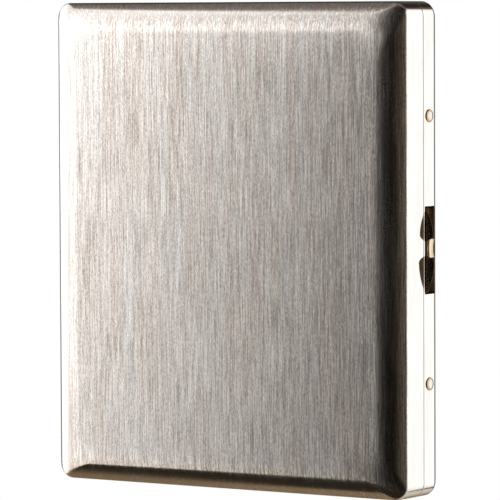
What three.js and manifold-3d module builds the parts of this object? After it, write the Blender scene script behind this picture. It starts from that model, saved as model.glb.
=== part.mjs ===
// Card case: two pillow-faced covers on a long knuckle hinge, closed by a sprung thumb piece.
// Millimetres. Origin: middle of the bottom wall. +Z up the long side, +X to the latch, -Y to the front face.
import * as THREE from "three";
import { mergeVertices } from "three/addons/utils/BufferGeometryUtils.js";
import Module from "manifold-3d";

const wasm = await Module();
wasm.setup();

// Overall case
const HEIGHT = 97;
const WIDTH = 83;
const CORNER_R = 3;
const SHEET = 0.6;
const WALL_Y = 4.95;
const MID_Z = HEIGHT / 2;
const HALF_X = WIDTH / 2;
const SEAM_Y = 0.85;
const SEAM_GAP = 0.3;
const CORNER_STEPS = 9;

// Edge roll and shoulder of each face
const ROLL_R = 0.8;
const ROLL_END = THREE.MathUtils.degToRad(52);
const ROLL_STEPS = 4;
const SHOULDER_WIDTH = 6.2;
const SHOULDER_RISE = 1.94;
const SHOULDER_POWER = 2.5;
const SHOULDER_STEPS = 8;
const CORNER_GROWTH = 0.55;

// Inner frame strip that lines the walls and laps the seam
const GAP = 0.3;
const FRAME_T = 0.5;
const FRAME_X = HALF_X - SHEET - GAP;
const FRAME_Z = HEIGHT / 2 - SHEET - GAP;
const FRAME_R = CORNER_R - SHEET - GAP;
const FRONT_FRAME_Y = [-4.3, 1.8];
const REAR_FRAME_Y = [2.1, 4.4];

// Hinge
const BARREL_R = 1.1;
const PIN_R = 0.5;
const PIN_BORE_R = 0.55;
const LATCH_PROUD = 1.75;
const HINGE_X = -(HALF_X + LATCH_PROUD - BARREL_R);
const HINGE_LOW = 6;
const HINGE_HIGH = 91;
const KNUCKLES = 9;
const KNUCKLE_GAP = 0.3;
const HINGE_RECESS = 1.45;

// Thumb piece, its notch and its leaf spring
const NOTCH_HALF = 8.6;
const NOTCH_Y = [1.2, 4.85];
const THUMB_Y = [1.5, 4.55];
const THUMB_T = 0.5;
const THUMB_END = 8.3;
const LOBE_ENDS = [8.65, 7.35];
const FAR_FLANGE_PROUD = 0.45;
const THUMB_WEB_X = [39.95, 40.45];
const THUMB_WEB_HALF = 10;
const LOBE_DIP = 1.35;
const DIP_CENTRE = 0.35;
const UPPER_LOBE_LOWER = 0.25;
const LOBE_BASE = 0.25;
const LOBE_PEAK_AT = 0.2;
const SADDLE_PROUD = 0.4;
const CLAW_Z = 5.5;
const CLAW_HALF = 1.5;
const LEAF_Y = [2.3, 3.6];
const LEAF_T = 0.3;
const RIVET_Z = 26.2;
const RIVET_HEAD_R = 1.3;
const RIVET_SHANK_R = 0.5;
const RIVET_HOLE_R = 0.6;
const RIVET_Y = 2.9;

// Card retaining arms
const ARM_X = -35;
const ARM_Y = -4.8;
const ARM_HALF = 3;
const ARM_T = 0.5;
const ARM_FLOOR_Y = -6.3;
const ARM_TIP_X = 35;
const ARM_OFFSET_Z = 9;
const ARM_BARREL_R = 0.95;
const ARM_PIN_R = 0.45;
const SPRING_R = 0.85;
const SPRING_WIRE_R = 0.16;
const SPRING_TURNS = 2.5;

const group = new THREE.Group();

function metal(color, roughness) {
  return new THREE.MeshStandardMaterial({ color, roughness, metalness: 1 });
}

const brushedNickel = () => metal(0xa59c94, 0.42);
const innerBrass = () => metal(0xc9a663, 0.3);
const darkBrass = () => metal(0x8a6a42, 0.35);
const springSteel = () => metal(0x8d8f92, 0.3);
const brightNickel = () => metal(0xd8d4cc, 0.15);

// A manifold solid from a three.js geometry, with its faces turned outwards.
function solid(geometry) {
  const bare = geometry.index ? geometry.toNonIndexed() : geometry.clone();
  bare.deleteAttribute("uv");
  bare.deleteAttribute("normal");
  const merged = mergeVertices(bare, 1e-4);
  const index = new Uint32Array(merged.index.array);
  const build = () =>
    new wasm.Manifold(
      new wasm.Mesh({
        numProp: 3,
        vertProperties: new Float32Array(merged.attributes.position.array),
        triVerts: index,
      }),
    );
  const made = build();
  if (made.volume() > 0) return made;
  for (let i = 0; i < index.length; i += 3) {
    [index[i + 1], index[i + 2]] = [index[i + 2], index[i + 1]];
  }
  return build();
}

function add(name, made, material) {
  const data = made.getMesh();
  const geometry = new THREE.BufferGeometry();
  geometry.setAttribute("position", new THREE.BufferAttribute(data.vertProperties, 3));
  geometry.setIndex(new THREE.BufferAttribute(data.triVerts, 1));
  geometry.computeVertexNormals();
  const mesh = new THREE.Mesh(geometry, material);
  mesh.name = name;
  group.add(mesh);
}

const BASES = {
  x: new THREE.Matrix4().makeBasis(
    new THREE.Vector3(0, 1, 0),
    new THREE.Vector3(0, 0, 1),
    new THREE.Vector3(1, 0, 0),
  ),
  y: new THREE.Matrix4().makeBasis(
    new THREE.Vector3(1, 0, 0),
    new THREE.Vector3(0, 0, 1),
    new THREE.Vector3(0, 1, 0),
  ),
  z: new THREE.Matrix4(),
};

// A flat outline pushed along an axis. Outline points are the other two axes, in X, Y, Z order.
function prism(points, axis, low, high) {
  const shape = new THREE.Shape(points.map(([u, v]) => new THREE.Vector2(u, v)));
  const geometry = new THREE.ExtrudeGeometry(shape, { depth: high - low, bevelEnabled: false });
  geometry.translate(0, 0, low);
  geometry.applyMatrix4(BASES[axis]);
  return solid(geometry);
}

function box(x, y, z) {
  const points = [
    [x[0], y[0]],
    [x[1], y[0]],
    [x[1], y[1]],
    [x[0], y[1]],
  ];
  return prism(points, "z", z[0], z[1]);
}

// The outline of a bent strip of even thickness about its centreline.
function strip(centreline, thickness) {
  const left = [];
  const right = [];
  centreline.forEach(([u, v], i) => {
    const [au, av] = centreline[Math.max(i - 1, 0)];
    const [bu, bv] = centreline[Math.min(i + 1, centreline.length - 1)];
    const length = Math.hypot(bu - au, bv - av);
    const du = (-(bv - av) / length) * (thickness / 2);
    const dv = ((bu - au) / length) * (thickness / 2);
    left.push([u + du, v + dv]);
    right.push([u - du, v - dv]);
  });
  return [...left, ...right.reverse()];
}

function disc(u, v, r, axis, low, high, sides = 24) {
  const points = [];
  for (let i = 0; i < sides; i++) {
    const a = (2 * Math.PI * i) / sides;
    points.push([u + r * Math.cos(a), v + r * Math.sin(a)]);
  }
  return prism(points, axis, low, high);
}

// A rounded rectangle in X and Z, centred on the case, at depth y.
function ring(halfX, halfZ, r, y) {
  const points = [];
  const centres = [
    [1, 1],
    [-1, 1],
    [-1, -1],
    [1, -1],
  ];
  centres.forEach(([sx, sz], k) => {
    for (let i = 0; i <= CORNER_STEPS; i++) {
      const a = ((k + i / CORNER_STEPS) * Math.PI) / 2;
      const x = sx * (halfX - r) + r * Math.cos(a);
      const z = MID_Z + sz * (halfZ - r) + r * Math.sin(a);
      points.push(new THREE.Vector3(x, y, z));
    }
  });
  return points;
}

// A surface through rings that starts and ends on a point.
function loft(rings, first, last) {
  const n = rings[0].length;
  const points = [first, ...rings.flat(), last];
  const index = [];
  for (let i = 0; i < n; i++) {
    const j = (i + 1) % n;
    index.push(0, 1 + j, 1 + i);
    for (let k = 0; k + 1 < rings.length; k++) {
      const a = 1 + k * n;
      const b = a + n;
      index.push(a + i, a + j, b + i, a + j, b + j, b + i);
    }
    const end = 1 + (rings.length - 1) * n;
    index.push(end + i, end + j, points.length - 1);
  }
  const geometry = new THREE.BufferGeometry().setFromPoints(points);
  geometry.setIndex(index);
  return solid(geometry);
}

// Outer section of a cover: inset from the wall, height past the end of the wall, outward normal.
function coverSection() {
  const section = [];
  for (let i = 0; i <= ROLL_STEPS; i++) {
    const a = (ROLL_END * i) / ROLL_STEPS;
    const inset = ROLL_R * (1 - Math.cos(a));
    section.push({ inset, rise: ROLL_R * Math.sin(a), nx: Math.cos(a), ny: Math.sin(a) });
  }
  const start = section[section.length - 1];
  for (let i = 1; i <= SHOULDER_STEPS; i++) {
    const u = Math.pow(i / SHOULDER_STEPS, 1.3);
    const slope = (SHOULDER_RISE * SHOULDER_POWER * Math.pow(1 - u, SHOULDER_POWER - 1)) / SHOULDER_WIDTH;
    const length = Math.hypot(1, slope);
    section.push({
      inset: start.inset + SHOULDER_WIDTH * u,
      rise: start.rise + SHOULDER_RISE * (1 - Math.pow(1 - u, SHOULDER_POWER)),
      nx: slope / length,
      ny: 1 / length,
    });
  }
  return section;
}

// One pressed cover. side is -1 for the front and 1 for the rear; rim is the depth of its open edge.
function cover(side, rim) {
  const outer = [ring(HALF_X, HEIGHT / 2, CORNER_R, rim)];
  const inner = [ring(HALF_X - SHEET, HEIGHT / 2 - SHEET, CORNER_R - SHEET, rim)];
  for (const { inset, rise, nx, ny } of coverSection()) {
    const r = CORNER_R + CORNER_GROWTH * inset;
    outer.push(ring(HALF_X - inset, HEIGHT / 2 - inset, r, side * (WALL_Y + rise)));
    const d = inset + SHEET * nx;
    const innerR = Math.max(CORNER_R + CORNER_GROWTH * inset - SHEET * nx, 1);
    inner.push(ring(HALF_X - d, HEIGHT / 2 - d, innerR, side * (WALL_Y + rise - SHEET * ny)));
  }
  const top = outer[outer.length - 1][0].y;
  const bottom = inner[inner.length - 1][0].y;
  const rings = [...outer.reverse(), ...inner];
  return loft(rings, new THREE.Vector3(0, top, MID_Z), new THREE.Vector3(0, bottom, MID_Z));
}

// A strip that follows the inside of the walls.
function frameStrip([low, high]) {
  const outer = [ring(FRAME_X, FRAME_Z, FRAME_R, low), ring(FRAME_X, FRAME_Z, FRAME_R, high)];
  const inset = FRAME_T;
  const innerR = FRAME_R - inset;
  const inner = [low - 1, high + 1].map((y) => ring(FRAME_X - inset, FRAME_Z - inset, innerR, y));
  const centre = (rings, k) => new THREE.Vector3(0, rings[k][0].y, MID_Z);
  const whole = loft(outer, centre(outer, 0), centre(outer, 1));
  return whole.subtract(loft(inner, centre(inner, 0), centre(inner, 1)));
}

function frontCover() {
  const rim = SEAM_Y - SEAM_GAP / 2;
  const recess = box([-43, -40], [SEAM_Y - HINGE_RECESS, 2], [HINGE_LOW - 0.8, HINGE_HIGH + 0.8]);
  add("front_cover", cover(-1, rim).subtract(recess), brushedNickel());
}

function rearCover() {
  const rim = SEAM_Y + SEAM_GAP / 2;
  const recess = box([-43, -40], [0, SEAM_Y + HINGE_RECESS], [HINGE_LOW - 0.8, HINGE_HIGH + 0.8]);
  const notch = box([40, 43], NOTCH_Y, [MID_Z - NOTCH_HALF, MID_Z + NOTCH_HALF]);
  let made = cover(1, rim).subtract(recess).subtract(notch);
  for (const s of [-1, 1]) {
    made = made.subtract(disc(RIVET_Y, MID_Z + s * RIVET_Z, RIVET_HOLE_R, "x", 40, 43));
  }
  add("rear_cover", made, brushedNickel());
}

function frames() {
  const hinge = box([-43, -38], [-6, 6], [HINGE_LOW - 1, HINGE_HIGH + 1]);
  const lip = box([-43, -37], [0.4, 6], [-1, HEIGHT + 1]);
  const catchGap = box([39, 43], [-2.9, 6], [MID_Z - 11.5, MID_Z + 11.5]);
  const front = frameStrip(FRONT_FRAME_Y).subtract(hinge).subtract(lip).subtract(catchGap);
  add("front_frame", front, innerBrass());
  const rear = frameStrip(REAR_FRAME_Y).subtract(hinge);
  const half = 31;
  const upper = rear.subtract(box([-50, 50], [-6, 6], [-1, MID_Z + half]));
  const lower = rear.subtract(box([-50, 50], [-6, 6], [MID_Z - half, HEIGHT + 1]));
  const keep = HINGE_HIGH - 0.3;
  add("rear_frame_upper", upper.subtract(box([-50, -38], [-6, 6], [0, keep])), innerBrass());
  add("rear_frame_lower", lower, innerBrass());
}

// One hinge leaf with every second knuckle. side is -1 for the front and 1 for the rear.
function hingeLeaf(side, first) {
  const sorted = (a, b) => [Math.min(a, b), Math.max(a, b)];
  const plateX = [-FRAME_X, -FRAME_X + FRAME_T];
  const near = SEAM_Y + side * HINGE_RECESS;
  let made = box(plateX, sorted(near, side * 4.1), [HINGE_LOW - 0.3, HINGE_HIGH + 0.3]);
  const pitch = (HINGE_HIGH - HINGE_LOW + KNUCKLE_GAP) / KNUCKLES;
  for (let k = first; k < KNUCKLES; k += 2) {
    const low = HINGE_LOW + k * pitch;
    const z = [low, low + pitch - KNUCKLE_GAP];
    const tab = box([HINGE_X + 0.2, plateX[1]], sorted(SEAM_Y, SEAM_Y + side * BARREL_R), z);
    const bridge = box(plateX, sorted(SEAM_Y, near + side * 0.2), z);
    made = made.add(tab).add(bridge).add(disc(HINGE_X, SEAM_Y, BARREL_R, "z", z[0], z[1], 28));
  }
  return made.subtract(disc(HINGE_X, SEAM_Y, PIN_BORE_R, "z", 0, HEIGHT, 28));
}

function hinge() {
  add("hinge_leaf_front", hingeLeaf(-1, 1), brightNickel());
  add("hinge_leaf_rear", hingeLeaf(1, 0), brightNickel());
  const pin = disc(HINGE_X, SEAM_Y, PIN_R, "z", HINGE_LOW - 0.3, HINGE_HIGH + 0.3, 28);
  add("hinge_pin", pin, springSteel());
}

// Outer edge of the near flange: two lobes with a dip between them, the upper one lower.
function lobeHeight(z) {
  const side = Math.sign(z - DIP_CENTRE);
  const end = LOBE_ENDS[side > 0 ? 1 : 0];
  const s = (Math.abs(z - DIP_CENTRE) - LOBE_DIP) / (end - LOBE_DIP);
  if (s <= 0) return 0;
  const rise = Math.min(s / LOBE_PEAK_AT, 1);
  const fall = Math.min(Math.max((s - LOBE_PEAK_AT) / (1 - LOBE_PEAK_AT), 0), 1);
  const height = LATCH_PROUD - LOBE_BASE - (side > 0 ? UPPER_LOBE_LOWER : 0);
  return height * Math.sin((rise * Math.PI) / 2) * (1 - fall * fall);
}

function flange(innerX, y) {
  const points = [
    [innerX, MID_Z + THUMB_END],
    [innerX, MID_Z - THUMB_END],
  ];
  const shares = [1, 0.93, 0.84, 0.74, 0.62, 0.5, 0.4, 0.3, LOBE_PEAK_AT, 0.14, 0.1, 0.05, 0];
  const stations = [THUMB_END];
  for (const side of [-1, 1]) {
    const end = LOBE_ENDS[side > 0 ? 1 : 0];
    for (const share of shares) {
      stations.push(DIP_CENTRE + side * (LOBE_DIP + share * (end - LOBE_DIP)));
    }
  }
  stations.sort((a, b) => a - b);
  for (const z of stations) {
    points.push([HALF_X + LOBE_BASE + lobeHeight(z), MID_Z + z]);
  }
  return prism(points, "y", y[0], y[1]);
}

function thumbPiece() {
  const [low, high] = THUMB_Y;
  const webZ = [MID_Z - THUMB_WEB_HALF, MID_Z + THUMB_WEB_HALF];
  let made = box(THUMB_WEB_X, [low, high], webZ);
  made = made.add(flange(39.2, [low, low + THUMB_T]));
  const farX = [THUMB_WEB_X[0], HALF_X + FAR_FLANGE_PROUD];
  made = made.add(box(farX, [high - THUMB_T, high], [MID_Z - THUMB_END, MID_Z + THUMB_END]));
  const saddleX = [THUMB_WEB_X[0], HALF_X + SADDLE_PROUD];
  made = made.add(box(saddleX, [low, high], [MID_Z + DIP_CENTRE - 1.9, MID_Z + DIP_CENTRE + 1.9]));
  const claw = [
    [39.2, low + THUMB_T],
    [39.2, -2.1],
    [39.7, -2.1],
    [40.2, -1.6],
    [40.2, -1.3],
    [39.7, -1.3],
    [39.7, low + THUMB_T],
  ];
  for (const s of [-1, 1]) {
    const z = MID_Z + s * CLAW_Z;
    made = made.add(prism(claw, "z", z - CLAW_HALF, z + CLAW_HALF));
  }
  add("thumb_piece", made, darkBrass());
}

function leafSpring() {
  const endX = HALF_X - SHEET - GAP - 0.05;
  const midX = THUMB_WEB_X[0] - 0.35;
  const stations = [
    [28.4, endX],
    [20, endX],
    [17.5, endX - 0.14],
    [14, midX + 0.12],
    [11.5, midX],
  ];
  const half = stations.map(([z, x]) => [x - LEAF_T / 2, MID_Z + z]);
  const other = stations.slice().reverse().map(([z, x]) => [x - LEAF_T / 2, MID_Z - z]);
  const points = strip([...half, ...other], LEAF_T);
  let made = prism(points, "y", LEAF_Y[0], LEAF_Y[1]);
  for (const s of [-1, 1]) {
    made = made.subtract(disc(RIVET_Y, MID_Z + s * RIVET_Z, RIVET_HOLE_R, "x", 38, 43));
  }
  add("latch_leaf_spring", made, springSteel());
}

function rivet(name, z) {
  const seat = HALF_X + 0.05;
  const back = HALF_X - SHEET - GAP - 0.05 - LEAF_T - 0.05;
  const head = 0.5;
  const profile = [
    [0, back - 0.4],
    [0.75, back - 0.4],
    [0.75, back],
    [RIVET_SHANK_R, back],
    [RIVET_SHANK_R, seat],
    [RIVET_HEAD_R, seat],
  ];
  for (let i = 0; i < 5; i++) {
    const a = (i / 5) * (Math.PI / 2);
    profile.push([RIVET_HEAD_R * Math.cos(a), seat + 0.1 + (head - 0.1) * Math.sin(a)]);
  }
  profile.push([0, seat + head]);
  const geometry = new THREE.LatheGeometry(profile.map(([r, h]) => new THREE.Vector2(r, h)), 20);
  geometry.rotateZ(-Math.PI / 2);
  geometry.translate(0, RIVET_Y, MID_Z + z);
  add(name, solid(geometry), brightNickel());
}

function keeper() {
  const z = [MID_Z - 8.5, MID_Z + 8.5];
  const plate = box([40.3, 40.6], [-2.6, -0.3], z);
  const ledge = box([39.95, 40.4], [-1, -0.5], [MID_Z - 8, MID_Z + 8]);
  add("latch_keeper", plate.add(ledge), brightNickel());
}

// The arm, bracket, pin and torsion spring of one half. The rear set is the front set mirrored in Y.
function retainer(label, side, z0) {
  const place = (made) => (side < 0 ? made : made.mirror([0, 1, 0]));
  const base = box([-37, -32.5], [-6.5, -6.1], [z0 - 4, z0 + 4]);
  const earOutline = [
    [-36.2, -6.2],
    [-33.8, -6.2],
    [-33.95, -4.7],
    [-34.4, -3.95],
    [-35, -3.7],
    [-35.6, -3.95],
    [-36.05, -4.7],
  ];
  let bracket = base;
  for (const s of [-1, 1]) {
    const ends = [z0 + s * (ARM_HALF + 0.3), z0 + s * (ARM_HALF + 0.8)].sort((a, b) => a - b);
    bracket = bracket.add(prism(earOutline, "z", ends[0], ends[1]));
  }
  bracket = bracket.subtract(disc(ARM_X, ARM_Y, ARM_PIN_R + 0.05, "z", z0 - 5, z0 + 5));
  add(`${label}_arm_bracket`, place(bracket), brightNickel());

  const centreline = [
    [ARM_X, ARM_Y - ARM_BARREL_R + ARM_T / 2],
    [-33, ARM_Y - ARM_BARREL_R + ARM_T / 2],
    [-30.5, ARM_FLOOR_Y + 0.1],
    [-28, ARM_FLOOR_Y],
    [ARM_TIP_X - 3.2, ARM_FLOOR_Y],
    [ARM_TIP_X - 1.4, ARM_FLOOR_Y + 0.7],
    [ARM_TIP_X - 0.4, -4.4],
  ];
  const outline = strip(centreline, ARM_T);
  let arm = prism(outline, "z", z0 - ARM_HALF, z0 + ARM_HALF);
  arm = arm.add(disc(ARM_X, ARM_Y, ARM_BARREL_R, "z", z0 - ARM_HALF, z0 + ARM_HALF));
  arm = arm.subtract(disc(ARM_X, ARM_Y, ARM_PIN_R + 0.05, "z", z0 - 5, z0 + 5));
  arm = arm.subtract(box([-37, -33.4], [-8, 0], [z0 - 1.2, z0 + 1.2]));
  add(`${label}_arm`, place(arm), innerBrass());

  const pin = disc(ARM_X, ARM_Y, ARM_PIN_R, "z", z0 - 4.1, z0 + 4.1);
  add(`${label}_arm_pin`, place(pin), springSteel());

  const path = [new THREE.Vector3(-33.8, ARM_Y - SPRING_R, z0 - 0.5)];
  const steps = 12 * SPRING_TURNS;
  for (let i = 0; i <= steps; i++) {
    const a = -Math.PI / 2 - (2 * Math.PI * SPRING_TURNS * i) / steps;
    const z = z0 - 0.5 + i / steps;
    path.push(new THREE.Vector3(ARM_X + SPRING_R * Math.cos(a), ARM_Y + SPRING_R * Math.sin(a), z));
  }
  path.push(new THREE.Vector3(-33.6, -4.1, z0 + 0.5));
  path.push(new THREE.Vector3(-31.4, -5.1, z0 + 0.5));
  const wire = new THREE.Shape();
  wire.absarc(0, 0, SPRING_WIRE_R, 0, 2 * Math.PI, false);
  const coil = new THREE.ExtrudeGeometry(wire, {
    steps: 84,
    curveSegments: 7,
    extrudePath: new THREE.CatmullRomCurve3(path, false, "centripetal"),
  });
  add(`${label}_arm_spring`, place(solid(coil)), springSteel());
}

frontCover();
rearCover();
frames();
hinge();
thumbPiece();
leafSpring();
rivet("latch_rivet_upper", RIVET_Z);
rivet("latch_rivet_lower", -RIVET_Z);
keeper();
retainer("front", -1, MID_Z + ARM_OFFSET_Z);
retainer("rear", 1, MID_Z - ARM_OFFSET_Z);

export default group;
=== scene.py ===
"""Looks of the card case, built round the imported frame. Metres, row frame."""

import math

import bmesh
import bpy
from mathutils import Matrix, Vector

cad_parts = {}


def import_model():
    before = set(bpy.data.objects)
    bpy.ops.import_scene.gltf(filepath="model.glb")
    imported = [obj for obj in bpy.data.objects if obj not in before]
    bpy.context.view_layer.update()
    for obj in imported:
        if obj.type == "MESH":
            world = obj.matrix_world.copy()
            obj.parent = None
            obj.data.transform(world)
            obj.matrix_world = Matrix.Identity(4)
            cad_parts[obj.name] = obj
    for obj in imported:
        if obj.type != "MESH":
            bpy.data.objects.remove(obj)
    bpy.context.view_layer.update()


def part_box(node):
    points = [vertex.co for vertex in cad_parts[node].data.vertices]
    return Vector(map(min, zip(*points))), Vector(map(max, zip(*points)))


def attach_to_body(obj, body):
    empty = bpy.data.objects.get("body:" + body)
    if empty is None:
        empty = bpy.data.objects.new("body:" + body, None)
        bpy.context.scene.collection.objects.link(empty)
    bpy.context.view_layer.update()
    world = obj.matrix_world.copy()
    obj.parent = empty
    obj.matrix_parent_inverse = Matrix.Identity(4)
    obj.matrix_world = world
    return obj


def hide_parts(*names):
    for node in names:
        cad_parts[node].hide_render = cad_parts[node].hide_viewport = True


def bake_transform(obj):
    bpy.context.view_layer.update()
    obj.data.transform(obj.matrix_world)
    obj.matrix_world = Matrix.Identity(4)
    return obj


MM = 0.001
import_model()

# Sizes read from the frame
FRONT_HIGH = Vector(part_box("front_cover")[1])
REAR_LOW, REAR_HIGH = (Vector(v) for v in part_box("rear_cover"))
HALF_X = FRONT_HIGH.x
HEIGHT = FRONT_HIGH.z
MID_Z = HEIGHT / 2
SEAM_Y = (FRONT_HIGH.y + REAR_LOW.y) / 2
FACE_Y = REAR_HIGH.y
THUMB_HIGH = Vector(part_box("thumb_piece")[1])
LATCH_PROUD = THUMB_HIGH.x - HALF_X

# Pressed sheet
SHEET = 0.6 * MM
CORNER_R = 3.0 * MM
CORNER_GROWTH = 0.55
CORNER_STEPS = 14
ROLL_R = 0.8 * MM
ROLL_END = math.radians(52)
ROLL_STEPS = 8
SHOULDER_WIDTH = 6.2 * MM
SHOULDER_RISE = 1.94 * MM
SHOULDER_POWER = 2.5
SHOULDER_STEPS = 26
BRUSHED_FROM = math.radians(30)
WALL_Y = FACE_Y - ROLL_R * math.sin(ROLL_END) - SHOULDER_RISE
RIM_ROUND = 0.1 * MM
SEAM_OPEN = 0.12 * MM
WALL_SUPPORT = 0.12 * MM

# Lining strips
FRAME_T = 0.5 * MM
FRAME_X = HALF_X - SHEET - 0.3 * MM
FRAME_Z = MID_Z - SHEET - 0.3 * MM
FRAME_R = CORNER_R - SHEET - 0.3 * MM
EDGE_ROUND = 0.07 * MM

# Hinge
BARREL_R = 1.1 * MM
PIN_R = 0.5 * MM
KNUCKLE_BORE_R = PIN_R + 0.05 * MM
HINGE_X = Vector(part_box("hinge_leaf_front")[0]).x + BARREL_R
HINGE_LOW = 6 * MM
HINGE_HIGH = 91 * MM
KNUCKLES = 9
KNUCKLE_GAP = 0.3 * MM
HINGE_RECESS = 1.45 * MM
RECESS_ROOM = 0.84 * MM
LEAF_ROOM = 0.3 * MM
TAB_X = HINGE_X + 0.62 * MM
TAB_TOP_X = HINGE_X + 0.25 * MM

# Ranges that reach right through a wall of the covers, for cutting
HINGE_WALL_X = (-43 * MM, -40 * MM)
LATCH_WALL_X = (40 * MM, 43 * MM)
BEYOND = 60 * MM

# Latch
NOTCH_HALF = 8.6 * MM
NOTCH_Y = (1.2 * MM, 4.85 * MM)
THUMB_T = 0.5 * MM
THUMB_END = 8.3 * MM
THUMB_BASE = 0.25 * MM
THUMB_BEND = 0.35 * MM
THUMB_LOW_Y = 1.5 * MM
SADDLE_PROUD = 0.4 * MM
DIP_CENTRE = 0.35 * MM
LOBE_ENDS = (8.65 * MM, 7.35 * MM)
UPPER_LOBE_LOWER = 0.25 * MM
FAR_FLANGE_PROUD = 0.43 * MM
WEB_X = 40.2 * MM
LOBE_DIP = 1.35 * MM
LOBE_PEAK_AT = 0.2
CLAW_Z = 5.5 * MM
CLAW_HALF = 1.5 * MM
CLAW_BACK_X = 39.2 * MM
CLAW_X = 39.7 * MM
CLAW_NOSE_X = 40.2 * MM
CLAW_TIP_Y = -2.1 * MM
CLAW_HOOK_Y = (-1.6 * MM, -1.3 * MM)
LEAF_Y = (2.3 * MM, 3.6 * MM)
LEAF_T = 0.3 * MM
LEAF_END_X = 40.55 * MM - LEAF_T / 2
LEAF_MID_X = 39.6 * MM - LEAF_T / 2
LEAF_PIECE = 1.2 * MM
RIVET_Z = 26.2 * MM
RIVET_Y = 2.9 * MM
RIVET_HEAD_R = 1.3 * MM
RIVET_HOLE_R = 0.6 * MM
RIVET_BACK_X = 40.2 * MM

# Card arms
ARM_X = -35 * MM
ARM_Y = -4.8 * MM
ARM_HALF = 3 * MM
ARM_T = 0.5 * MM
ARM_FLOOR_Y = -6.3 * MM
ARM_TIP_X = 35 * MM
ARM_OFFSET_Z = 9 * MM
ARM_BARREL_R = 0.95 * MM
ARM_PIN_R = 0.45 * MM
ARM_BORE_R = ARM_PIN_R + 0.05 * MM
ARM_PIN_HALF = 4.1 * MM
EAR_R = 1.05 * MM
SPRING_R = 0.85 * MM
SPRING_WIRE_R = 0.16 * MM
SPRING_TURNS = 2.5

# Camera, fitted to the outline of the case in the photograph
FOCAL_IN_WIDTHS = 8.296
YAW = math.radians(33.226)
PITCH = math.radians(3.236)
ROLL = math.radians(-0.226)
OFFSET = Vector((-1.32, -0.992, 829.58)) * MM
SENSOR = 36.0

# Materials: where each mask starts and is full. The two lines are painted: they imitate
# reflections in rounded edges, which the edges of this model are too small to show.
BUMP_DISTANCE = 0.02 * MM
# The hinge-side shoulder: a painted highlight in the base colour, with smoother relief.
SHOULDER_SMOOTH_AND_HIGHLIGHT_X = (5.4 * MM - HALF_X, 2.0 * MM - HALF_X)
PLAIN_END_Z = (MID_Z - 4.5 * MM, MID_Z - 2.0 * MM)
EDGE_LINE_X = (1.1 * MM - HALF_X, 0.6 * MM - HALF_X)
WALL_LINE_Y = (WALL_Y - 0.34 * MM, WALL_Y - 0.2 * MM)
LINE_SHADE = (0.2, 0.2, 0.2, 1)
# Painted shade for brass faces that point along +X.
X_FACE_PAINTED_SHADE = (0.14, 0.11, 0.09, 1)

# Studio: light levels by azimuth (degrees, 0 in front, negative to the left) and by height
# (metres). They were set by comparing the render's tones with the photograph's.
WRAP_R = 300 * MM
WRAP_LOW = -150 * MM
WRAP_HIGH = 362 * MM
DARK_LEVEL = 0.006
KEY_BY_AZIMUTH = (
    (-180, 0), (-104, 0.06), (-98, 2.5), (-76, 2.3), (-67, 1.6), (-58, 1.7), (-51, 2.9), (-44, 2.3),
    (-40, 1.56), (-36, 1.1), (-32, 0.71), (-28, 0.5), (-25, 0.28), (-21, 0.04), (-18, 0), (180, 0),
)
KEY_BY_HEIGHT = (
    (-0.15, 0.54), (-0.06, 0.69), (-0.02, 0.68), (0.03, 0.8), (0.086, 0.98), (0.14, 0.86), (0.22, 0.6),
    (0.362, 0.5),
)
TOP_BY_AZIMUTH = ((-180, 0), (-70, 0), (-55, 0.35), (-34, 0.7), (-20, 1.1), (-14, 0), (180, 0))
TOP_BY_HEIGHT = ((-0.15, 0), (0.08, 0), (0.12, 1), (0.22, 0.8), (0.31, 0.5), (0.33, 0.8), (0.362, 0.8))
PANEL_BY_AZIMUTH = (
    (-180, 0.12), (-135, 0), (30, 0), (40, 0.1), (74, 0.16), (80, 1.15), (150, 1.15), (156, 0.1),
    (180, 0.12),
)
PANEL_BY_HEIGHT = ((-0.15, 0.75), (-0.06, 1), (0.25, 1), (0.262, 0.2), (0.362, 0.16))
STUDIO_WHITE = (1, 0.99, 0.98, 1)
STUDIO_DARK = (1, 0.8, 0.6, 1)
TABLE_LEVEL = 0.27
TABLE_COLOUR = (1.0, 0.74, 0.46, 1)
TABLE_WARM = (0.27, 0.2, 0.125, 1)
TABLE_DARK = (0.022, 0.018, 0.013, 1)
CEILING_FRONT = (0.17, 0.148, 0.13, 1)
CEILING_BACK = (0.05, 0.047, 0.044, 1)
TABLE_CREAM = (0.62, 0.57, 0.49, 1)
TABLE_CREAM_TINT = (1.0, 0.93, 0.83, 1)
FLOOR_HALF = 3.0
FLOOR_DROP = 0.1 * MM


# ---------------------------------------------------------------- node helpers

def feed(tree, socket, value):
    """Links the value if it's a socket, and sets it if it's a number or a colour."""
    if isinstance(value, bpy.types.NodeSocket):
        tree.links.new(value, socket)
    else:
        socket.default_value = value


def math_node(tree, operation, a, b=None):
    made = tree.nodes.new("ShaderNodeMath")
    made.operation = operation
    for socket, value in zip(made.inputs, (a, b)):
        if value is not None:
            feed(tree, socket, value)
    return made.outputs[0]


def map_range(tree, value, taken, given, interpolation):
    made = tree.nodes.new("ShaderNodeMapRange")
    made.interpolation_type = interpolation
    tree.links.new(value, made.inputs["Value"])
    made.inputs["From Min"].default_value = taken[0]
    made.inputs["From Max"].default_value = taken[1]
    made.inputs["To Min"].default_value = given[0]
    made.inputs["To Max"].default_value = given[1]
    return made.outputs["Result"]


def smooth_step(tree, value, low, high, out_low=0.0, out_high=1.0):
    """A soft step from one range to another, held at its ends."""
    return map_range(tree, value, (low, high), (out_low, out_high), "SMOOTHSTEP")


def spread(tree, value, low, high, out_low=0.0, out_high=1.0):
    """A straight map from one range to another, held at its ends."""
    return map_range(tree, value, (low, high), (out_low, out_high), "LINEAR")


def split_position(tree, space="Object"):
    """X, Y and Z of the point that is shaded, as sockets."""
    coordinate = tree.nodes.new("ShaderNodeTexCoord")
    split = tree.nodes.new("ShaderNodeSeparateXYZ")
    tree.links.new(coordinate.outputs[space], split.inputs[0])
    return split.outputs


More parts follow.
